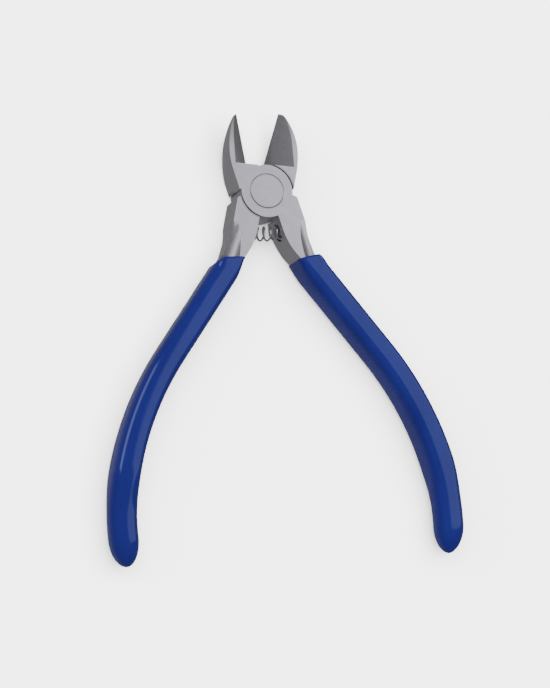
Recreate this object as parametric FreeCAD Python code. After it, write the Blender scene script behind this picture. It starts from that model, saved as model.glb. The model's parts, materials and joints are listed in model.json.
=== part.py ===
"""Flush cut pliers with a lap joint, a coil return spring and dipped grips (millimetres).

The tool lies flat. +Y points to the jaw tips, +X to the right and +Z to the upper face.
The origin is on the pivot axis, on the joint's lower face. Each half is first drawn closed,
with its jaw on the -X side, its arm on the +X side and both meeting its twin on the plane
x = 0. The half whose lap is underneath is then mirrored, and both halves are swung open
about the pivot to where the spring holds them.
"""
import FreeCAD, Part
import math
import os
from FreeCAD import Placement, Rotation, Vector

# Joint
THICKNESS = 9.8
MID_Z = THICKNESS / 2
DISC_RADIUS = 7.2
RECESS_GAP = 0.4
LAP_GAP = 0.04
REST_HALF_ANGLE = 15.0

# Jaw, closed, on the -X side
CONTACT_GAP = 0.02
JAW_SIDE_X = 7.2
SHOULDER_X = 7.25
SHOULDER_Y = 2.5
JAW_CURVE_Y = 7.6
JAW_CURVE_RADIUS = 21.5
TIP_SIDE_Y = 22.6
TIP_Y = 23.0
CROWN_Y = 14.0
CROWN_RADIUS = 27.0

# The ground faces that make the cutting edge
FLUSH_START_Y = 6.4
FLUSH_ANGLE = 22.0
EDGE_ROOT_Y = 9.0
EDGE_TIP_Y = 20.0
BAND_ROOT = (1.5, 3.0)
BAND_TIP = (0.5, 1.0)
BEVEL_RIM_X = 6.2
HOLLOW_END_Y = 7.5
LEFT_HOLLOW_END_ANGLE = 20.0
RIGHT_HOLLOW_END_ANGLE = 8.5

# Arm, closed, on the +X side
ARM_INNER_X = 0.8
ARM_OUTER_X = 7.65
ARM_TOP_INNER = (6.3, -2.7)
ARM_TOP_OUTER = (7.65, -3.85)
ARM_CORNER_Y = -11.2
NECK = ((7.5, -12.6), (7.45, -15.0))
NECK_OUTER_END = (8.25, -19.7)
ARM_END_Y = -20.9
INNER_STRAIGHT_END_Y = -12.2
INNER_BEND_MID = (1.4, -16.0)
NECK_INNER_END = (2.8, -19.7)
SCALLOP_START = (7.6, -11.0)
SCALLOP_END = (8.55, -23.2)
SCALLOP_RADIUS = 4.4
SCALLOP_DEPTH = 3.75
SCALLOP_RUN_IN = 3.0

# Handle centreline: a straight run, a gentle bend to parallel, then a bend back in
BEND_APEX = (23.1, -81.4)
UPPER_BEND_RADIUS = 85.0
LOWER_BEND_RADIUS = 64.0
HANDLE_ANGLE = math.radians(21.7)
TANG_HALF_WIDTH = 2.35
TANG_HALF_THICKNESS = 3.8
TANG_TOP_Y = -19.0
TANG_END_Y = -99.0

# Dipped grip
GRIP_MOUTH = (5.65, -20.15)
GRIP_MOUTH_SIZE = (3.4, 5.5, 1.3)
GRIP_COLLAR = (6.0, -21.9)
GRIP_COLLAR_SIZE = (3.65, 5.5, 1.7)
RIGHT_MOUTH_TILT = 3.0
LEFT_MOUTH_TILT = 15.0
GRIP_STATIONS_Y = (-26, -34, -44, -54, -64, -73, -80, -86, -91, -96)
GRIP_ROUNDING_Y = -100.3
GRIP_END_Y = -107.4
GRIP_END_STATIONS = (22, 42, 58, 70, 80)
GRIP_UPPER_HALF_WIDTH = 3.7
GRIP_LOWER_HALF_WIDTH = 3.8
GRIP_UPPER_HALF_THICKNESS = 5.45
GRIP_LOWER_HALF_THICKNESS = 4.3
GRIP_UPPER_CORNER = 2.65
GRIP_LOWER_CORNER = 3.0
GRIP_WIDENING_Y = (-72.0, -92.0)
GRIP_THINNING_Y = (-82.0, -95.0)

# Pivot rivet
SHANK_RADIUS = 3.0
HEAD_RADIUS = 4.7
HEAD_THICKNESS = 1.8
RIVET_CHAMFER = 0.15
RUNNING_GAP = 0.05

# Return spring and its blind seats in the arms' inner faces
SEAT_Y = -11.2
SEAT_RADIUS = 2.45
SEAT_DEPTH = 2.3
SPRING_RADIUS = 1.83
WIRE_RADIUS = 0.3
SPRING_TURNS = 6.5
SPRING_END_GAP = 0.05
POINTS_PER_TURN = 16

CLEAR = 30.0


def prism(edges, low_z, high_z):
    """Solid between two heights from a closed flat outline of edges drawn at z = 0."""
    face = Part.Face(Part.Wire(edges))
    face.translate(Vector(0, 0, low_z))
    return face.extrude(Vector(0, 0, high_z - low_z))


def lines(points):
    """Straight edges through the points in turn."""
    corners = [Vector(x, y, 0) for x, y in points]
    return [Part.makeLine(start, end) for start, end in zip(corners, corners[1:])]


def arc(start, middle, end):
    """Circular edge through three points."""
    return Part.Arc(Vector(*start, 0), Vector(*middle, 0), Vector(*end, 0)).toShape()


def cylinder(radius, low_z, high_z, x=0.0, y=0.0):
    """Upright cylinder between two heights."""
    return Part.makeCylinder(radius, high_z - low_z, Vector(x, y, low_z))


def half_space(point, normal):
    """Large box that lies on the side of a plane that its normal points to."""
    box = Part.makeBox(4 * CLEAR, 4 * CLEAR, 2 * CLEAR, Vector(-2 * CLEAR, -2 * CLEAR, 0))
    box.Placement = Placement(point, Rotation(Vector(0, 0, 1), normal))
    return box


def above_plane(first, second, third):
    """Large box above the plane through three points."""
    normal = (second - first).cross(third - first)
    if normal.z < 0:
        normal = normal * -1
    return half_space(first, normal)


def jaw_blank():
    """Jaw block of full thickness, before its faces are ground."""
    centre_x = JAW_CURVE_RADIUS - JAW_SIDE_X
    sweep = math.asin((TIP_SIDE_Y - JAW_CURVE_Y) / JAW_CURVE_RADIUS)
    curve = [
        (centre_x - JAW_CURVE_RADIUS * math.cos(angle), JAW_CURVE_Y + JAW_CURVE_RADIUS * math.sin(angle))
        for angle in (0, sweep / 2, sweep)
    ]
    shoulder = (-SHOULDER_X, SHOULDER_Y)
    edges = lines([curve[2], (-CONTACT_GAP, TIP_Y), (-CONTACT_GAP, SHOULDER_Y), shoulder, curve[0]])
    return prism([arc(*curve)] + edges, 0, THICKNESS)


def edge_height(y):
    """Height of the cutting edge, which lies on the flush face."""
    return (y - FLUSH_START_Y) * math.tan(math.radians(FLUSH_ANGLE))


def flush_cut():
    """Everything behind the sloping flush face."""
    slope = math.radians(FLUSH_ANGLE)
    normal = Vector(0, math.sin(slope), -math.cos(slope))
    return half_space(Vector(0, FLUSH_START_Y, 0), normal)


def crown_cut():
    """Everything in front of the rounded upper face near the tip."""
    block = Part.makeBox(CLEAR, CLEAR, CLEAR, Vector(-CLEAR, CROWN_Y, 0))
    start = Vector(-CLEAR, CROWN_Y, THICKNESS - CROWN_RADIUS)
    return block.cut(Part.makeCylinder(CROWN_RADIUS, CLEAR, start, Vector(1, 0, 0)))


def bevel_cut(end_angle):
    """Ground hollow: a narrow band along the cutting edge, then the main bevel to the rim."""
    edge_root = Vector(0, EDGE_ROOT_Y, edge_height(EDGE_ROOT_Y))
    edge_tip = Vector(0, EDGE_TIP_Y, edge_height(EDGE_TIP_Y))
    band_root = edge_root + Vector(-BAND_ROOT[0], 0, BAND_ROOT[1])
    band_tip = edge_tip + Vector(-BAND_TIP[0], 0, BAND_TIP[1])
    rim = Vector(-BEVEL_RIM_X, EDGE_ROOT_Y, THICKNESS)
    band = above_plane(edge_root, edge_tip, band_root)
    bevel = above_plane(band_root, band_tip, rim)
    wall_angle = math.radians(end_angle)
    wall = half_space(Vector(0, HOLLOW_END_Y, 0), Vector(math.sin(wall_angle), math.cos(wall_angle), 0))
    return [band.common(wall), bevel.common(wall)]


def jaw(hollow_end_angle):
    """Finished jaw."""
    return jaw_blank().cut([flush_cut(), crown_cut()] + bevel_cut(hollow_end_angle))


def arm():
    """Steel between the joint and the grip."""
    outer = [ARM_TOP_INNER, ARM_TOP_OUTER, (ARM_OUTER_X, ARM_CORNER_Y), *NECK, NECK_OUTER_END]
    drop = NECK_INNER_END[1] - ARM_END_Y
    spread = drop * math.tan(HANDLE_ANGLE)
    foot = [(point[0] + spread, ARM_END_Y) for point in (NECK_OUTER_END, NECK_INNER_END)]
    inner_start = (ARM_INNER_X, INNER_STRAIGHT_END_Y)
    edges = lines(outer + foot + [NECK_INNER_END])
    edges.append(arc(NECK_INNER_END, INNER_BEND_MID, inner_start))
    edges += lines([inner_start, (ARM_INNER_X, ARM_TOP_INNER[1]), ARM_TOP_INNER])
    return prism(edges, 0, THICKNESS)


def scallops():
    """Round grooves that sink along the arm's outer edge, above and below, as they near the grip."""
    start_x, start_y = SCALLOP_START
    end_x, end_y = SCALLOP_END
    start = Vector(start_x, start_y, THICKNESS + SCALLOP_RADIUS)
    end = Vector(end_x, end_y, THICKNESS + SCALLOP_RADIUS - SCALLOP_DEPTH)
    axis = end - start
    run_in = axis * (SCALLOP_RUN_IN / axis.Length)
    upper = Part.makeCylinder(SCALLOP_RADIUS, axis.Length + SCALLOP_RUN_IN, start - run_in, axis)
    return [upper, upper.mirror(Vector(0, 0, MID_Z), Vector(0, 0, 1))]


def centreline(y):
    """X of the handle's centreline at a given y, and its angle from the Y axis."""
    apex_x, apex_y = BEND_APEX
    if y < apex_y:
        angle = -math.asin((apex_y - y) / LOWER_BEND_RADIUS)
        return apex_x - LOWER_BEND_RADIUS * (1 - math.cos(angle)), angle
    bend_top_y = apex_y + UPPER_BEND_RADIUS * math.sin(HANDLE_ANGLE)
    if y < bend_top_y:
        angle = math.asin((y - apex_y) / UPPER_BEND_RADIUS)
        return apex_x - UPPER_BEND_RADIUS * (1 - math.cos(angle)), angle
    bend_top_x = apex_x - UPPER_BEND_RADIUS * (1 - math.cos(HANDLE_ANGLE))
    return bend_top_x - (y - bend_top_y) * math.tan(HANDLE_ANGLE), HANDLE_ANGLE


def tang_sides(y):
    """Outer and inner points of the tang's outline beside a centreline point."""
    x, angle = centreline(y)
    step_x = TANG_HALF_WIDTH * math.cos(angle)
    step_y = TANG_HALF_WIDTH * math.sin(angle)
    return (x + step_x, y + step_y), (x - step_x, y - step_y)


def tang():
    """Flat steel bar that runs down inside the grip."""
    apex_y = BEND_APEX[1]
    bend_top_y = apex_y + UPPER_BEND_RADIUS * math.sin(HANDLE_ANGLE)
    upper_bend = [bend_top_y, (bend_top_y + apex_y) / 2, apex_y]
    levels = [TANG_TOP_Y, *upper_bend, (apex_y + TANG_END_Y) / 2, TANG_END_Y]
    outer = [tang_sides(level)[0] for level in levels]
    inner = [tang_sides(level)[1] for level in levels]
    edges = lines(outer[:2]) + [arc(*outer[1:4]), arc(*outer[3:])]
    edges += lines([outer[-1], inner[-1]])
    edges += [arc(*inner[:2:-1]), arc(*inner[3:0:-1])]
    edges += lines([inner[1], inner[0], outer[0]])
    return prism(edges, MID_Z - TANG_HALF_THICKNESS, MID_Z + TANG_HALF_THICKNESS)


def half(lap_on_top):
    """One steel half, closed: jaw, lap disc, arm and tang in one piece."""
    lap_low, lap_high = (MID_Z + LAP_GAP / 2, THICKNESS) if lap_on_top else (0, MID_Z - LAP_GAP / 2)
    recess_low, recess_high = (-1, lap_low) if lap_on_top else (lap_high, THICKNESS + 1)
    recess = cylinder(DISC_RADIUS + RECESS_GAP, recess_low, recess_high)
    hollow_end_angle = LEFT_HOLLOW_END_ANGLE if lap_on_top else RIGHT_HOLLOW_END_ANGLE
    handle = arm().fuse(tang()).cut(scallops())
    disc = cylinder(DISC_RADIUS, lap_low, lap_high)
    body = jaw(hollow_end_angle).fuse(handle).cut(recess).fuse(disc).removeSplitter()
    return body.cut(rivet_hole(lap_on_top) + [spring_seat()])


def rivet_hole(lap_on_top):
    """Shank hole and head recess; the lower half has running room because it turns."""
    gap = 0 if lap_on_top else RUNNING_GAP
    shank = cylinder(SHANK_RADIUS + gap, -1, THICKNESS + 1)
    if not lap_on_top:
        return [shank, cylinder(HEAD_RADIUS + gap, -1, HEAD_THICKNESS + gap)]
    rim_start = Vector(0, 0, THICKNESS - RIVET_CHAMFER)
    rim = Part.makeCone(HEAD_RADIUS, HEAD_RADIUS + RIVET_CHAMFER, RIVET_CHAMFER, rim_start)
    return [shank, cylinder(HEAD_RADIUS, THICKNESS - HEAD_THICKNESS, THICKNESS + 1), rim]


def spring_seat():
    """Blind hole in the arm's inner face that holds one end of the spring."""
    start = Vector(0, SEAT_Y, MID_Z)
    return Part.makeCylinder(SEAT_RADIUS, ARM_INNER_X + SEAT_DEPTH, start, Vector(1, 0, 0))


def pivot_rivet():
    """Shank with a flush head at each end."""
    shank = cylinder(SHANK_RADIUS, 0, THICKNESS)
    low = cylinder(HEAD_RADIUS, 0, HEAD_THICKNESS)
    high = cylinder(HEAD_RADIUS, THICKNESS - HEAD_THICKNESS, THICKNESS)
    body = shank.fuse([low, high]).removeSplitter()
    faces_z = (0, THICKNESS)
    rims = [e for e in body.Edges if e.Closed and min(abs(e.CenterOfMass.z - z) for z in faces_z) < 0.01]
    return body.makeChamfer(RIVET_CHAMFER, rims)


def blend(start, end, y, span):
    """Value that passes smoothly from start to end as y falls through a span."""
    share = min(max((y - span[0]) / (span[1] - span[0]), 0), 1)
    return start + (end - start) * share * share * (3 - 2 * share)


def grip_section(place, angle, half_width, half_thickness, corner):
    """Rounded rectangle across the handle at a place (x, y) on its centreline."""
    width = half_width - corner
    depth = half_thickness - corner
    rounding = corner * math.sqrt(0.5)
    corners = []
    for sign_x, sign_y in ((1, 1), (-1, 1), (-1, -1), (1, -1)):
        centre = (sign_x * width, sign_y * depth)
        side = (centre[0] + sign_x * corner, centre[1])
        middle = (centre[0] + sign_x * rounding, centre[1] + sign_y * rounding)
        face = (centre[0], centre[1] + sign_y * corner)
        corners.append((side, middle, face) if sign_x == sign_y else (face, middle, side))
    outline = []
    for number, points in enumerate(corners):
        outline.append(arc(*points))
        outline += lines([points[2], corners[(number + 1) % 4][0]])
    wire = Part.Wire(outline)
    across = Rotation(Vector(math.cos(angle), math.sin(angle), 0), Vector(0, 0, 1), Vector(), "XYZ")
    wire.Placement = Placement(Vector(*place, MID_Z), across)
    return wire


def grip_sections(mouth_tilt):
    """Sections of the grip's outside from its mouth to its rounded end."""
    tilt = math.radians(mouth_tilt)
    collar = grip_section(GRIP_COLLAR, HANDLE_ANGLE / 2, *GRIP_COLLAR_SIZE)
    sections = [grip_section(GRIP_MOUTH, -tilt, *GRIP_MOUTH_SIZE), collar]
    end_length = GRIP_ROUNDING_Y - GRIP_END_Y
    rounded = [GRIP_ROUNDING_Y - end_length * math.sin(math.radians(a)) for a in GRIP_END_STATIONS]
    for y in (*GRIP_STATIONS_Y, GRIP_ROUNDING_Y, *rounded):
        share = max(GRIP_ROUNDING_Y - y, 0) / end_length
        scale = math.sqrt(1 - share * share)
        width = blend(GRIP_UPPER_HALF_WIDTH, GRIP_LOWER_HALF_WIDTH, y, GRIP_WIDENING_Y)
        depth = blend(GRIP_UPPER_HALF_THICKNESS, GRIP_LOWER_HALF_THICKNESS, y, GRIP_THINNING_Y)
        corner = blend(GRIP_UPPER_CORNER, GRIP_LOWER_CORNER, y, GRIP_WIDENING_Y)
        x, angle = centreline(y)
        sections.append(grip_section((x, y), angle, width * scale, depth * scale, corner * scale))
    return sections


def grip(steel, mouth_tilt):
    """Dipped sleeve, closed at its end, around the steel that it coats."""
    return Part.makeLoft(grip_sections(mouth_tilt), True, False).cut(steel)


def return_spring():
    """Coil along the arc between the two seat floors, as it stands when the tool is open."""
    swing = math.radians(REST_HALF_ANGLE)
    reach = ARM_INNER_X + SEAT_DEPTH - SPRING_END_GAP
    end_x = reach * math.cos(swing) - SEAT_Y * math.sin(swing)
    end_y = reach * math.sin(swing) + SEAT_Y * math.cos(swing)
    arc_radius = end_x / math.sin(swing)
    centre_y = end_y + arc_radius * math.cos(swing)
    count = int(SPRING_TURNS * POINTS_PER_TURN)
    margin = math.asin(WIRE_RADIUS / arc_radius)
    points = []
    for number in range(count + 1):
        share = number / count
        along = (swing - margin) * (2 * share - 1)
        turn = 2 * math.pi * SPRING_TURNS * share
        radius = arc_radius + SPRING_RADIUS * math.cos(turn)
        points.append(Vector(
            radius * math.sin(along),
            centre_y - radius * math.cos(along),
            MID_Z + SPRING_RADIUS * math.sin(turn),
        ))
    path = Part.BSplineCurve()
    path.interpolate(points)
    start = path.value(path.FirstParameter)
    direction = path.tangent(path.FirstParameter)[0]
    section = Part.Wire(Part.makeCircle(WIRE_RADIUS, start, direction))
    return Part.Wire(path.toShape()).makePipeShell([section], True, True)


def mirrored(shape):
    """The same shape with left and right exchanged."""
    return shape.mirror(Vector(0, 0, 0), Vector(1, 0, 0))


def swung(shape, degrees):
    """The same shape turned about the pivot."""
    turned = shape.copy()
    turned.rotate(Vector(0, 0, 0), Vector(0, 0, 1), degrees)
    return turned


def main():
    os.makedirs("parts", exist_ok=True)
    top_half = half(lap_on_top=True)
    low_half = half(lap_on_top=False)
    top_grip = grip(top_half, RIGHT_MOUTH_TILT)
    low_grip = grip(low_half, LEFT_MOUTH_TILT)
    nodes = {
        "front_half": swung(top_half, REST_HALF_ANGLE),
        "right_grip": swung(top_grip, REST_HALF_ANGLE),
        "back_half": swung(mirrored(low_half), -REST_HALF_ANGLE),
        "left_grip": swung(mirrored(low_grip), -REST_HALF_ANGLE),
        "pivot_rivet": pivot_rivet(),
        "return_spring": return_spring(),
    }
    for name, shape in nodes.items():
        print(f"{name}: {len(shape.Solids)} solid, valid {shape.isValid()}, {shape.Volume:.1f} mm3")
        shape.exportStep(f"parts/{name}.step")


main()
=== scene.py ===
"""Flush cut pliers lying open on a pale table, seen from above (metres, in the part's own frame)."""

import json
import math

import bmesh
import bpy
from mathutils import Matrix, Vector


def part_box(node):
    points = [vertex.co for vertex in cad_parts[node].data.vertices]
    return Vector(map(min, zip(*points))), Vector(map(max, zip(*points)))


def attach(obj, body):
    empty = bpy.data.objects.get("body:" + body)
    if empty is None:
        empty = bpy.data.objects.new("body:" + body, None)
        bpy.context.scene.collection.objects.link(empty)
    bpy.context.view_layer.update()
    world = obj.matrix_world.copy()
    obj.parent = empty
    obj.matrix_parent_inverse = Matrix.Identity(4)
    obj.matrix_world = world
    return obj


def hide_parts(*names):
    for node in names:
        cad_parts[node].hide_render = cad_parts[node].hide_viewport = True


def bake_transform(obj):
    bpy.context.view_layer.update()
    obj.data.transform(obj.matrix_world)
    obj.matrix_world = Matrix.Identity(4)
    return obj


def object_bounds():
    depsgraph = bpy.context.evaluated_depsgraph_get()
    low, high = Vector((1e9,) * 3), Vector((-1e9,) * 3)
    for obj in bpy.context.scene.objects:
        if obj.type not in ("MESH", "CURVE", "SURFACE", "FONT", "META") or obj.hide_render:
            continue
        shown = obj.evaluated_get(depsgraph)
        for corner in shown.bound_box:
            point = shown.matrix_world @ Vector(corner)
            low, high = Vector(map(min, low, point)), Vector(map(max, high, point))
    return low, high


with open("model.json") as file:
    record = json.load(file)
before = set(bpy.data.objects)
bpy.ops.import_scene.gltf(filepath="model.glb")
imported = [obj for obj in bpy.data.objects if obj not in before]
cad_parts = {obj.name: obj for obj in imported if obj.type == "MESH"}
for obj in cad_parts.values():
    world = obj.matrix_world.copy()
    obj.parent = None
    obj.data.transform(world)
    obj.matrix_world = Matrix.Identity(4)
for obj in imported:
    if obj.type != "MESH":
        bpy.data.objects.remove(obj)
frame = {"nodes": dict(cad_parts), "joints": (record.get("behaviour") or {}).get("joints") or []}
cad_low, cad_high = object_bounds()

MM = 0.001

# Places taken from the frame
PIVOT = Vector(frame["joints"][0]["pos_m"])
REST_HALF_ANGLE = math.radians(frame["joints"][0]["range_deg"][1]) / 2
STEEL_LOW, STEEL_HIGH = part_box("front_half")
MID_Z = (STEEL_LOW.z + STEEL_HIGH.z) / 2
JAW_ROOT_Y = 6.4 * MM
JAW_BLEND = 0.3 * MM
RIVET_RADIUS = (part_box("pivot_rivet")[1].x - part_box("pivot_rivet")[0].x) / 2
RECESS_RADIUS = 7.6 * MM

# Broken edges of the steel
STEEL_EDGE = 0.09 * MM
RIVET_EDGE = 0.04 * MM
WELD_DISTANCE = 0.001 * MM
FLAT_ANGLE = math.radians(0.3)
SHARP_ANGLE = math.radians(24)

# How level a face is, as the upward part of its normal: where a finish starts, and where it is full
LAPPED_OFF_JAW = (0.97, 0.995)
LAPPED_ON_JAW = (0.80, 0.88)
NOT_UPRIGHT = (0.15, 0.3)

# Darkest and lightest tone of each finish; the ground, scooped and forged tones are darker than the lapped
# partly as finish and partly as painted shade
LAPPED_TONES = ((0.64, 0.634, 0.706), (0.73, 0.722, 0.796))
GROUND_AND_SHADE_TONES = ((0.315, 0.312, 0.336), (0.40, 0.396, 0.424))
SCOOPED_AND_SHADE_TONES = ((0.46, 0.456, 0.503), (0.538, 0.532, 0.581))
FORGED_AND_SHADE_TONES = ((0.52, 0.515, 0.55), (0.68, 0.672, 0.71))
RIVET_TONES = ((0.62, 0.614, 0.692), (0.70, 0.693, 0.772))
WIRE_TONES = ((0.56, 0.56, 0.58), (0.74, 0.74, 0.76))
VINYL_TONES = ((0.0026, 0.0031, 0.038), (0.0033, 0.0040, 0.047))
TABLE_TONES = ((0.93, 0.93, 0.93), (0.95, 0.95, 0.95))
WORN_COLOUR = (0.80, 0.79, 0.83)
# Colour of the painted shadow along the seams
SEAM_SHADOW_COLOUR = (0.22, 0.21, 0.225)

# Painted seam shadows and edge wear; WEAR_AGREEMENT is how well rounded and true normals agree, unworn and
# fully worn
NOISE_RANGE = (0.3, 0.7)
PATCH_RANGE = (0.35, 0.65)
WEAR_REACH = 0.3 * MM
WEAR_AGREEMENT = (0.995, 0.9)
WORN_GLOSS = 0.14
SEAM_HALF_GAP = 0.05 * MM
# Painted shadow along the rivet's seam and along the lap of the other half's disc, darkest towards the
# lower left
RIVET_SEAM_SHADOW = {"radius": RIVET_RADIUS, "reach": 0.34 * MM, "lightest": 0.15}
LAP_SEAM_SHADOW = {"radius": RECESS_RADIUS, "reach": 0.5 * MM, "lightest": 0.7}
DARKEST_SEAM_SHADOW = 0.8
SHADED_SIDE = (-0.6, -0.8, 0)

# Handle centreline, closed, as the steel tang inside runs
BEND_APEX = (23.1 * MM, -81.4 * MM)
UPPER_BEND_RADIUS = 85 * MM
LOWER_BEND_RADIUS = 64 * MM
HANDLE_ANGLE = math.radians(21.7)

# Dipped grips
MOUTH = (5.65 * MM, -20.15 * MM)
MOUTH_TILT = {"right_grip": math.radians(3), "left_grip": math.radians(15)}
MOUTH_HALF_SIZE = (3.4 * MM, 5.5 * MM)
MOUTH_BLEND = 5 * MM
LIP_RADIUS = 0.4 * MM
ROUNDING_Y = -100.3 * MM
GRIP_END_Y = -107.4 * MM
HALF_WIDTH = (3.7 * MM, 3.8 * MM)
HALF_THICKNESS = (5.45 * MM, 4.3 * MM)
SQUARENESS = (3.6, 2.7)
MOUTH_SQUARING = 2.4
WIDENING = (-72 * MM, -92 * MM)
THINNING = (-82 * MM, -95 * MM)
GRIP_AROUND = 64
GRIP_ALONG = 120
LIP_STEP = 18
END_STEP = 5
TIP_SHARPNESS = {"right_grip": 1.12, "left_grip": 1.0}

# Pocket in each grip, a hair smaller than the steel tang that is pressed into it
POCKET_HALF_SIZE = (2.3 * MM, 3.75 * MM)
POCKET_SQUARENESS = 8
POCKET_TOP_Y = -24 * MM
POCKET_END_Y = -98.95 * MM
POCKET_ALONG = 60
POCKET_MOUTH_INSET = 1.8 * MM

# Return spring
SEAT_Y = -11.2 * MM
SPRING_REACH = 3.05 * MM
SPRING_RADIUS = 1.83 * MM
WIRE_RADIUS = 0.27 * MM
SPRING_TURNS = 7.25
CLOSED_TURNS = 0.9
CLOSED_PITCH = 2.3 * WIRE_RADIUS
SPRING_LENGTH = 11.5 * MM
STEPS_PER_TURN = 40
WIRE_AROUND = 14
ACROSS = Vector((1, 0, 0))

# Studio
TABLE_HALF_SIZE = 4.0
WORLD_STRENGTH = 0.26
CAMERA_TURN = (("Y", -19.24), ("X", 10.33), ("Z", -4.64))
CAMERA_AIM = Vector((0.0004, -0.0410, MID_Z))
CAMERA_DISTANCE = 0.802
LENS = 156.8
SENSOR_WIDTH = 36


# ---------------------------------------------------------------- materials

class Nodes:
    """Short way to build one node material."""

    def __init__(self, name):
        self.material = bpy.data.materials.new(name)
        self.material.use_nodes = True
        self.tree = self.material.node_tree
        self.shader = self.tree.nodes["Principled BSDF"]

    def add(self, kind, **settings):
        """Add a node; a setting named in_X goes to its input X, any other to the node itself."""
        node = self.tree.nodes.new(kind)
        for name, value in settings.items():
            if name.startswith("in_"):
                key = name[3:]
                node.inputs[int(key) if key.isdigit() else key.replace("_", " ")].default_value = value
            else:
                setattr(node, name, value)
        return node

    def link(self, source, target):
        """Join an output to an input."""
        self.tree.links.new(source, target)

    def math(self, operation, first, second):
        """Combine two numbers, each a constant or another node's output."""
        node = self.add("ShaderNodeMath", operation=operation)
        for socket, value in zip(node.inputs, (first, second)):
            if isinstance(value, (int, float)):
                socket.default_value = value
            else:
                self.link(value, socket)
        return node.outputs[0]

    def place(self, scale=(1, 1, 1), rotation=(0, 0, 0)):
        """Object coordinates, stretched and turned."""
        coordinates = self.add("ShaderNodeTexCoord")
        mapping = self.add("ShaderNodeMapping")
        mapping.inputs["Scale"].default_value = scale
        mapping.inputs["Rotation"].default_value = rotation
        self.link(coordinates.outputs["Object"], mapping.inputs["Vector"])
        return mapping.outputs["Vector"]

    def split(self, vector):
        """X, Y and Z of a vector."""
        node = self.add("ShaderNodeSeparateXYZ")
        self.link(vector, node.inputs[0])
        return node.outputs

    def face_normal(self):
        """Normal of the face itself, without smooth shading."""
        return self.add("ShaderNodeNewGeometry").outputs["True Normal"]

    def off_axis(self):
        """Distance from the pivot's axis."""
        node = self.add("ShaderNodeVectorMath", operation="LENGTH")
        self.link(self.place((1, 1, 0)), node.inputs[0])
        return node.outputs["Value"]

    def dot(self, first, second):
        """Dot product of an output with another output or with fixed numbers."""
        node = self.add("ShaderNodeVectorMath", operation="DOT_PRODUCT")
        self.link(first, node.inputs[0])
        if isinstance(second, tuple):
            node.inputs[1].default_value = second
        else:
            self.link(second, node.inputs[1])
        return node.outputs["Value"]

    def noise(self, vector, scale, detail=3.0, roughness=0.5):
        """Cloudy pattern between 0 and 1."""
        node = self.add("ShaderNodeTexNoise", in_Scale=scale, in_Detail=detail, in_Roughness=roughness)
        self.link(vector, node.inputs["Vector"])
        return node.outputs["Fac"]

    def tones(self, value, colours, low=0.3, high=0.7):
        """Colour that passes from the first tone to the second as a value rises from low to high."""
        node = self.add("ShaderNodeValToRGB")
        self.link(value, node.inputs["Fac"])
        for point, position, colour in zip(node.color_ramp.elements, (low, high), colours):
            point.position = position
            point.color = (*colour, 1)
        return node.outputs["Color"]

    def spread(self, value, low, high, to_low=0.0, to_high=1.0):
        """Map one range of values to another."""
        node = self.add("ShaderNodeMapRange", in_1=low, in_2=high, in_3=to_low, in_4=to_high)
        self.link(value, node.inputs[0])
        return node.outputs[0]

    def mix(self, factor, first, second):
        """Blend two colours."""
        node = self.add("ShaderNodeMix", data_type="RGBA")
        for socket, value in ((node.inputs[0], factor), (node.inputs[6], first), (node.inputs[7], second)):
            if isinstance(value, tuple):
                socket.default_value = (*value, 1)
            elif isinstance(value, (int, float)):
                socket.default_value = value
            else:
                self.link(value, socket)
        return node.outputs[2]

    def choose(self, factor, first, second):
        """Blend two numbers."""
        node = self.add("ShaderNodeMix", data_type="FLOAT")
        for socket, value in zip((node.inputs[0], node.inputs[2], node.inputs[3]), (factor, first, second)):
            self.link(value, socket)
        return node.outputs[0]

    def bump(self, height, distance, strength):
        """Shade the surface as if a pattern raised it."""
        node = self.add("ShaderNodeBump", in_Strength=strength, in_Distance=distance)
        self.link(height, node.inputs["Height"])
        self.link(node.outputs["Normal"], self.shader.inputs["Normal"])

    def set(self, **values):
        """Set inputs of the shader itself."""
        for name, value in values.items():
            self.shader.inputs[name.replace("_", " ")].default_value = value


def steel_masks(nodes):
    """Masks of the lapped flats and jaw reliefs, the jaws' steep ground bevels and the necks' scallops.

    Off the jaws the lapped faces are level, so a slight lean is already part of a scallop.
    """
    level = nodes.math("ABSOLUTE", nodes.split(nodes.face_normal())["Z"], 0)
    on_jaw = nodes.spread(nodes.split(nodes.place())["Y"], JAW_ROOT_Y - JAW_BLEND, JAW_ROOT_Y)
    lapped = nodes.choose(on_jaw, nodes.spread(level, *LAPPED_OFF_JAW), nodes.spread(level, *LAPPED_ON_JAW))
    leaning = nodes.math("MULTIPLY", nodes.spread(level, *NOT_UPRIGHT), nodes.math("SUBTRACT", 1, lapped))
    ground = nodes.math("MULTIPLY", leaning, on_jaw)
    scooped = nodes.math("SUBTRACT", leaning, ground)
    return lapped, ground, scooped


def edge_wear(nodes, patches):
    """Mask of edges rubbed bright in use: where the surface turns sharply, in uneven patches."""
    rounded = nodes.add("ShaderNodeBevel", samples=6, in_Radius=WEAR_REACH)
    agreement = nodes.dot(nodes.face_normal(), rounded.outputs["Normal"])
    turned = nodes.spread(agreement, *WEAR_AGREEMENT)
    return nodes.math("MULTIPLY", turned, nodes.spread(patches, *PATCH_RANGE, 0.25, 0.9))


def seam_shadow(nodes, radius, reach, lightest):
    """Mask of the painted shadow along a round seam, darkest towards the lower left."""
    off_seam = nodes.math("ABSOLUTE", nodes.math("SUBTRACT", nodes.off_axis(), radius), 0)
    near_seam = nodes.spread(off_seam, SEAM_HALF_GAP, reach, 1.0, 0.0)
    side = nodes.dot(nodes.place(), SHADED_SIDE)
    weight = nodes.spread(side, -radius, radius, lightest, DARKEST_SEAM_SHADOW)
    patches = nodes.spread(nodes.noise(nodes.place(), 260, 2), *PATCH_RANGE, 0.7, 1.0)
    return nodes.math("MULTIPLY", near_seam, nodes.math("MULTIPLY", weight, patches))


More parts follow.
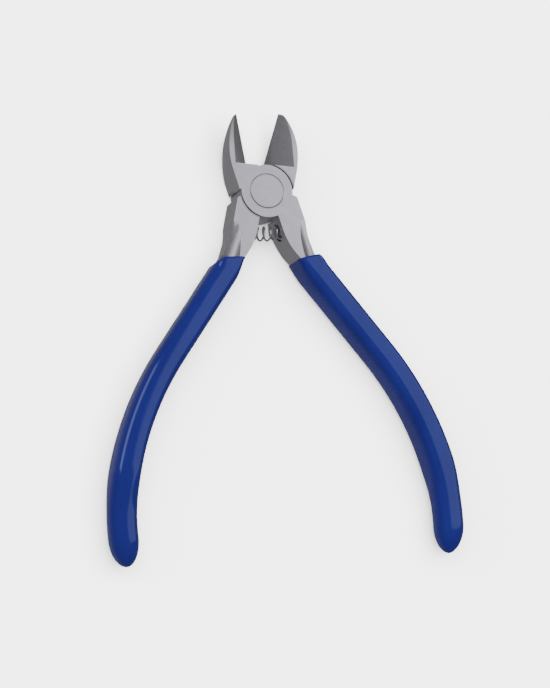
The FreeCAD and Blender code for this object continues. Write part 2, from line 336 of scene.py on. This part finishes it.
def lap_shadow(nodes, lap_side):
    """Mask of the painted shadow on the arm and jaw beside the other half's disc: above (1) or below (-1).
    """
    height = nodes.math("SUBTRACT", nodes.split(nodes.place())["Z"], MID_Z)
    beside_disc = nodes.math("GREATER_THAN", nodes.math("MULTIPLY", height, lap_side), 0)
    return nodes.math("MULTIPLY", beside_disc, seam_shadow(nodes, **LAP_SEAM_SHADOW))


def layered(blend, masks, lapped, ground, scooped, forged):
    """The four finishes of the steel, laid over each other by the masks."""
    lapped_mask, ground_mask, scooped_mask = masks
    shaped = blend(ground_mask, blend(scooped_mask, forged, scooped), ground)
    return blend(lapped_mask, shaped, lapped)


def steel_material(name, lap_side):
    """Steel half: satin lapped flats, bevels ground across the jaw, polished scallops and forged sides, the
    last three darker partly as painted shade; painted shadow along the seams.
    """
    nodes = Nodes(name)
    masks = steel_masks(nodes)
    mottle = nodes.noise(nodes.place(), 420, 4, 0.6)
    grain = nodes.noise(nodes.place((1, 0.35, 1)), 9000, 2)
    scale = nodes.noise(nodes.place((1, 0.12, 1)), 3200, 4, 0.65)
    scratches = nodes.noise(nodes.place((0.05, 1, 0.05), (0, 0, math.radians(40))), 14000, 2)
    wheel_marks = nodes.noise(nodes.place((1, 0.06, 1)), 6000, 2)
    worn = edge_wear(nodes, mottle)

    # Bevels, scallops and sides take darker tones than the flats, partly as painted shade
    before_seam_shadow = layered(
        nodes.mix,
        masks,
        lapped=nodes.tones(mottle, LAPPED_TONES, 0.25, 0.75),
        ground=nodes.tones(scratches, GROUND_AND_SHADE_TONES),
        scooped=nodes.tones(wheel_marks, SCOOPED_AND_SHADE_TONES),
        forged=nodes.tones(scale, FORGED_AND_SHADE_TONES),
    )
    # Painted shadow along the rivet's seam and the lap's seam
    painted_shadow = nodes.math("MAXIMUM", seam_shadow(nodes, **RIVET_SEAM_SHADOW), lap_shadow(nodes, lap_side))
    colour = nodes.mix(worn, nodes.mix(painted_shadow, before_seam_shadow, SEAM_SHADOW_COLOUR), WORN_COLOUR)
    nodes.link(colour, nodes.shader.inputs["Base Color"])

    roughness = layered(
        nodes.choose,
        masks,
        lapped=nodes.spread(grain, *NOISE_RANGE, 0.38, 0.5),
        ground=nodes.spread(scratches, *NOISE_RANGE, 0.32, 0.48),
        scooped=nodes.spread(wheel_marks, *NOISE_RANGE, 0.28, 0.38),
        forged=nodes.spread(scale, *NOISE_RANGE, 0.4, 0.55),
    )
    rubbed = nodes.math("SUBTRACT", roughness, nodes.math("MULTIPLY", worn, WORN_GLOSS))
    nodes.link(rubbed, nodes.shader.inputs["Roughness"])

    relief = layered(nodes.choose, masks, grain, scratches, wheel_marks, scale)
    nodes.bump(relief, 0.01 * MM, 0.35)
    nodes.set(Metallic=1.0)
    return nodes.material


def rivet_material():
    """Rivet head, faced on a lathe: faint rings about the pivot, and a painted shadow at its seam."""
    nodes = Nodes("faced_rivet_steel")
    rings = nodes.add("ShaderNodeTexNoise", noise_dimensions="1D", in_Scale=6500, in_Detail=2)
    nodes.link(nodes.off_axis(), rings.inputs["W"])
    mottle = nodes.noise(nodes.place(), 500, 4, 0.6)
    before_seam_shadow = nodes.tones(mottle, RIVET_TONES, 0.25, 0.75)
    # Painted shadow along the rivet's seam
    painted_shadow = seam_shadow(nodes, **RIVET_SEAM_SHADOW)
    nodes.link(nodes.mix(painted_shadow, before_seam_shadow, SEAM_SHADOW_COLOUR), nodes.shader.inputs["Base Color"])
    height = rings.outputs["Fac"]
    nodes.link(nodes.spread(height, *NOISE_RANGE, 0.36, 0.46), nodes.shader.inputs["Roughness"])
    nodes.bump(height, 0.008 * MM, 0.3)
    nodes.set(Metallic=1.0)
    return nodes.material


def spring_material():
    """Drawn spring wire with an uneven film of oil."""
    nodes = Nodes("drawn_spring_wire")
    film = nodes.noise(nodes.place(), 2600, 4, 0.6)
    nodes.link(nodes.tones(film, WIRE_TONES), nodes.shader.inputs["Base Color"])
    nodes.link(nodes.spread(film, *NOISE_RANGE, 0.22, 0.38), nodes.shader.inputs["Roughness"])
    nodes.bump(film, 0.01 * MM, 0.3)
    nodes.set(Metallic=1.0)
    return nodes.material


def vinyl_material():
    """Glossy dark blue dip coating with the faint orange peel of cured vinyl."""
    nodes = Nodes("dipped_blue_vinyl")
    cloud = nodes.noise(nodes.place((1, 0.4, 1)), 90)
    peel = nodes.noise(nodes.place(), 900, 2)
    nodes.link(nodes.tones(cloud, VINYL_TONES), nodes.shader.inputs["Base Color"])
    nodes.link(nodes.spread(peel, *NOISE_RANGE, 0.07, 0.11), nodes.shader.inputs["Roughness"])
    nodes.bump(peel, 0.02 * MM, 0.12)
    nodes.set(IOR=1.45, Specular_Tint=(0.62, 0.78, 1.0, 1.0))
    return nodes.material


def table_material():
    """Plain white table top with the faintest mottle."""
    nodes = Nodes("white_table")
    cloud = nodes.noise(nodes.place(), 14)
    nodes.link(nodes.tones(cloud, TABLE_TONES), nodes.shader.inputs["Base Color"])
    nodes.set(Roughness=0.7, Specular_IOR_Level=0.2)
    return nodes.material


# ---------------------------------------------------------------- steel

def finish_steel(name, material, edge_width):
    """Give a CAD node its finish and break its sharp edges."""
    node = frame["nodes"][name]
    node.data.materials.clear()
    node.data.materials.append(material)
    for polygon in node.data.polygons:
        polygon.use_smooth = True
    node.modifiers.new("weld", "WELD").merge_threshold = WELD_DISTANCE
    planar = node.modifiers.new("planar", "DECIMATE")
    planar.decimate_type = "DISSOLVE"
    planar.angle_limit = FLAT_ANGLE
    bevel = node.modifiers.new("broken_edges", "BEVEL")
    bevel.width = edge_width
    bevel.segments = 2
    bevel.limit_method = "ANGLE"
    bevel.angle_limit = SHARP_ANGLE
    node.modifiers.new("face_normals", "WEIGHTED_NORMAL").keep_sharp = True


# ---------------------------------------------------------------- grips

def smooth_step(value):
    """Smooth passage from 0 to 1 as the value goes from 0 to 1, level outside."""
    value = min(max(value, 0), 1)
    return value * value * (3 - 2 * value)


def between(pair, y, span):
    """Value that passes smoothly from one of a pair to the other as y falls through a span."""
    return pair[0] + (pair[1] - pair[0]) * smooth_step((y - span[0]) / (span[1] - span[0]))


def centreline(y):
    """X of the handle's centreline at a given y, and its angle from the Y axis."""
    apex_x, apex_y = BEND_APEX
    if y < apex_y:
        angle = -math.asin((apex_y - y) / LOWER_BEND_RADIUS)
        return apex_x - LOWER_BEND_RADIUS * (1 - math.cos(angle)), angle
    bend_top_y = apex_y + UPPER_BEND_RADIUS * math.sin(HANDLE_ANGLE)
    if y < bend_top_y:
        angle = math.asin((y - apex_y) / UPPER_BEND_RADIUS)
        return apex_x - UPPER_BEND_RADIUS * (1 - math.cos(angle)), angle
    bend_top_x = apex_x - UPPER_BEND_RADIUS * (1 - math.cos(HANDLE_ANGLE))
    return bend_top_x - (y - bend_top_y) * math.tan(HANDLE_ANGLE), HANDLE_ANGLE


def grip_stations(sharpness):
    """(y, size) down the grip: evenly along its body, then closing in over the rounded end."""
    body = [MOUTH[1] + (ROUNDING_Y - MOUTH[1]) * i / GRIP_ALONG for i in range(GRIP_ALONG)]
    end_length = ROUNDING_Y - GRIP_END_Y
    turns = [math.radians(a) for a in range(0, 90, END_STEP)]
    rounding = [(ROUNDING_Y - end_length * math.sin(t), math.cos(t) ** sharpness) for t in turns]
    return [(y, 1.0) for y in body] + rounding


def oval(centre, across, half_width, half_thickness, squareness):
    """Ring of points about a centre, between an ellipse (squareness 2) and a rectangle (large)."""
    power = 2 / squareness
    ring = []
    for i in range(GRIP_AROUND):
        turn = 2 * math.pi * i / GRIP_AROUND
        cosine, sine = math.cos(turn), math.sin(turn)
        side = math.copysign(abs(cosine) ** power, cosine) * half_width
        rise = math.copysign(abs(sine) ** power, sine) * half_thickness
        ring.append(centre + across * side + Vector((0, 0, rise)))
    return ring


def grip_ring(y, size, tilt, inset=0.0, drop=0.0):
    """Ring of points around the grip at one station."""
    x, angle = centreline(y)
    near_mouth = 1 - smooth_step((MOUTH[1] - y) / MOUTH_BLEND)
    x += (MOUTH[0] - centreline(MOUTH[1])[0]) * near_mouth
    angle = angle * (1 - near_mouth) - tilt * near_mouth
    half_width = between(HALF_WIDTH, y, WIDENING)
    half_width += (MOUTH_HALF_SIZE[0] - half_width) * near_mouth
    half_thickness = between(HALF_THICKNESS, y, THINNING)
    half_thickness += (MOUTH_HALF_SIZE[1] - half_thickness) * near_mouth
    squareness = between(SQUARENESS, y, THINNING) + MOUTH_SQUARING * near_mouth
    across = Vector((math.cos(angle), math.sin(angle), 0))
    along = Vector((math.sin(angle), -math.cos(angle), 0))
    centre = Vector((x, y, MID_Z)) + along * drop
    return oval(centre, across, half_width * size - inset, half_thickness * size - inset, squareness)


def pocket_rings():
    """Rings of the pocket that the steel tang fills, from its bottom to just inside the mouth."""
    rings = []
    for i in range(POCKET_ALONG + 1):
        y = POCKET_END_Y + (POCKET_TOP_Y - POCKET_END_Y) * i / POCKET_ALONG
        x, angle = centreline(y)
        across = Vector((math.cos(angle), math.sin(angle), 0))
        rings.append(oval(Vector((x, y, MID_Z)), across, *POCKET_HALF_SIZE, POCKET_SQUARENESS))
    return rings


def grip_rings(tilt, sharpness):
    """All rings of the sleeve: up its pocket, out over the lip of its mouth and down to its tip."""
    rings = pocket_rings() + [grip_ring(MOUTH[1], 1.0, tilt, POCKET_MOUTH_INSET)]
    for degrees in range(0, 90, LIP_STEP):
        turn = math.radians(degrees)
        inset = LIP_RADIUS * (1 - math.sin(turn))
        rings.append(grip_ring(MOUTH[1], 1.0, tilt, inset, LIP_RADIUS * (1 - math.cos(turn))))
    stations = [station for station in grip_stations(sharpness) if station[0] < MOUTH[1] - LIP_RADIUS]
    return rings + [grip_ring(y, size, tilt) for y, size in stations]


def tube_mesh(name, rings):
    """Closed mesh through rings of points, with a flat cap on the first and the last."""
    count = len(rings[0])
    faces = [tuple(reversed(range(count)))]
    for row in range(len(rings) - 1):
        for i in range(count):
            j = (i + 1) % count
            faces.append((row * count + i, row * count + j, (row + 1) * count + j, (row + 1) * count + i))
    last = (len(rings) - 1) * count
    faces.append(tuple(last + i for i in range(count)))
    mesh = bpy.data.meshes.new(name)
    mesh.from_pydata([point for ring in rings for point in ring], [], faces)
    mesh.validate()
    mesh.update()
    piece = bpy.data.objects.new(name, mesh)
    bpy.context.scene.collection.objects.link(piece)
    return piece


def turn_outwards(piece):
    """Make every face look out of the material, which in a pocket is towards its middle."""
    shape = bmesh.new()
    shape.from_mesh(piece.data)
    bmesh.ops.recalc_face_normals(shape, faces=shape.faces)
    shape.to_mesh(piece.data)
    shape.free()


def make_grip(node, body, mirrored, material):
    """One dipped grip on its swung-open handle."""
    rings = grip_rings(MOUTH_TILT[node], TIP_SHARPNESS[node])
    swing = Matrix.Rotation(-REST_HALF_ANGLE if mirrored else REST_HALF_ANGLE, 4, "Z")
    flip = Matrix.Diagonal((-1 if mirrored else 1, 1, 1, 1))
    place = Matrix.Translation(PIVOT) @ swing @ flip
    piece = tube_mesh(f"dipped_{node}", [[place @ point for point in ring] for ring in rings])
    turn_outwards(piece)
    for polygon in piece.data.polygons:
        polygon.use_smooth = True
    piece.data.materials.append(material)
    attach(piece, body)
    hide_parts(node)


# ---------------------------------------------------------------- spring

def coil_turn(share):
    """Share of the spring's length reached at a share of its wire: close coils at both ends."""
    closed = CLOSED_TURNS / SPRING_TURNS
    closed_rise = CLOSED_TURNS * CLOSED_PITCH / SPRING_LENGTH
    if share < closed:
        return closed_rise * share / closed
    if share > 1 - closed:
        return 1 - closed_rise * (1 - share) / closed
    open_share = (share - closed) / (1 - 2 * closed)
    return closed_rise + (1 - 2 * closed_rise) * open_share


def spring_rings():
    """Rings of points round the wire, along the arc between the two seats."""
    end = Matrix.Rotation(REST_HALF_ANGLE, 3, "Z") @ Vector((SPRING_REACH, SEAT_Y, 0))
    arc_radius = end.x / math.sin(REST_HALF_ANGLE)
    centre_y = end.y + arc_radius * math.cos(REST_HALF_ANGLE)
    margin = WIRE_RADIUS / arc_radius
    count = int(SPRING_TURNS * STEPS_PER_TURN)

    def wire_point(share):
        """Middle of the wire at a share of its length."""
        along = (REST_HALF_ANGLE - margin) * (2 * coil_turn(share) - 1)
        turn = 2 * math.pi * SPRING_TURNS * share
        radius = arc_radius + SPRING_RADIUS * math.cos(turn)
        rise = MID_Z + SPRING_RADIUS * math.sin(turn)
        return PIVOT + Vector((radius * math.sin(along), centre_y - radius * math.cos(along), rise))

    rings = []
    for i in range(count + 1):
        share = i / count
        centre = wire_point(share)
        step = 0.2 / count
        direction = (wire_point(min(share + step, 1)) - wire_point(max(share - step, 0))).normalized()
        first = (ACROSS - direction * ACROSS.dot(direction)).normalized()
        second = direction.cross(first)
        turns = [2 * math.pi * k / WIRE_AROUND for k in range(WIRE_AROUND)]
        rings.append([centre + WIRE_RADIUS * (first * math.cos(t) + second * math.sin(t)) for t in turns])
    return rings


def make_spring(material):
    """The coil between the arms' seats, with flat cut ends."""
    piece = tube_mesh("coil_spring", spring_rings())
    turn_outwards(piece)
    for polygon in piece.data.polygons:
        polygon.use_smooth = len(polygon.vertices) == 4
    piece.data.materials.append(material)
    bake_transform(piece)
    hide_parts("return_spring")


# ---------------------------------------------------------------- studio

def make_table():
    """Large flat table under the lowest point of the tool, kept out of glossy reflections."""
    sides = ((-1, -1), (1, -1), (1, 1), (-1, 1))
    corners = [(TABLE_HALF_SIZE * x, TABLE_HALF_SIZE * y, cad_low.z) for x, y in sides]
    mesh = bpy.data.meshes.new("table")
    mesh.from_pydata(corners, [], [(0, 1, 2, 3)])
    table = bpy.data.objects.new("table", mesh)
    bpy.context.scene.collection.objects.link(table)
    mesh.materials.append(table_material())
    table.visible_glossy = False


def softbox(name, place, target, size, power, glossy=True, spread=180):
    """Rectangular area light that looks at a point."""
    light = bpy.data.lights.new(name, "AREA")
    light.shape = "RECTANGLE"
    light.size, light.size_y = size
    light.energy = power
    light.spread = math.radians(spread)
    lamp = bpy.data.objects.new(name, light)
    lamp.location = place
    lamp.rotation_euler = (Vector(target) - Vector(place)).to_track_quat("-Z", "Y").to_euler()
    lamp.visible_glossy = glossy
    bpy.context.scene.collection.objects.link(lamp)


def make_lights():
    """Broad light overhead, a fill from the left, and two small softboxes that the gloss reflects."""
    tool = (0, -0.04, 0)
    softbox("overhead", (0.05, 0.1, 1.6), (0, -0.03, 0), size=(2.4, 2.4), power=185, glossy=False)
    softbox("right_softbox", (0.36, 0.07, 0.40), tool, size=(0.42, 0.6), power=1.02)
    softbox("left_fill", (-0.8, 0, 0.45), tool, size=(0.9, 0.9), power=9, glossy=False)
    softbox("left_softbox", (-0.44, 0.25, 0.40), tool, size=(0.36, 0.42), power=0.85, spread=130)
    world = bpy.data.worlds.new("studio")
    world.use_nodes = True
    world.node_tree.nodes["Background"].inputs["Color"].default_value = (1, 1, 1, 1)
    world.node_tree.nodes["Background"].inputs["Strength"].default_value = WORLD_STRENGTH
    bpy.context.scene.world = world


def make_camera():
    """Camera above the table, off to the tool's left and towards its handles, looking down at it."""
    camera = bpy.data.objects.new("camera", bpy.data.cameras.new("camera"))
    place = Matrix.Translation(CAMERA_AIM)
    for axis, degrees in CAMERA_TURN:
        place = place @ Matrix.Rotation(math.radians(degrees), 4, axis)
    camera.matrix_world = place @ Matrix.Translation((0, 0, CAMERA_DISTANCE))
    camera.data.sensor_width = SENSOR_WIDTH
    camera.data.lens = LENS
    bpy.context.scene.collection.objects.link(camera)
    bpy.context.scene.camera = camera


def main():
    """Build every piece, then the table, the lights and the camera."""
    finish_steel("front_half", steel_material("front_steel", -1), STEEL_EDGE)
    finish_steel("back_half", steel_material("back_steel", 1), STEEL_EDGE)
    finish_steel("pivot_rivet", rivet_material(), RIVET_EDGE)
    vinyl = vinyl_material()
    make_grip("right_grip", "front", False, vinyl)
    make_grip("left_grip", "back", True, vinyl)
    make_spring(spring_material())
    make_table()
    make_lights()
    make_camera()


main()
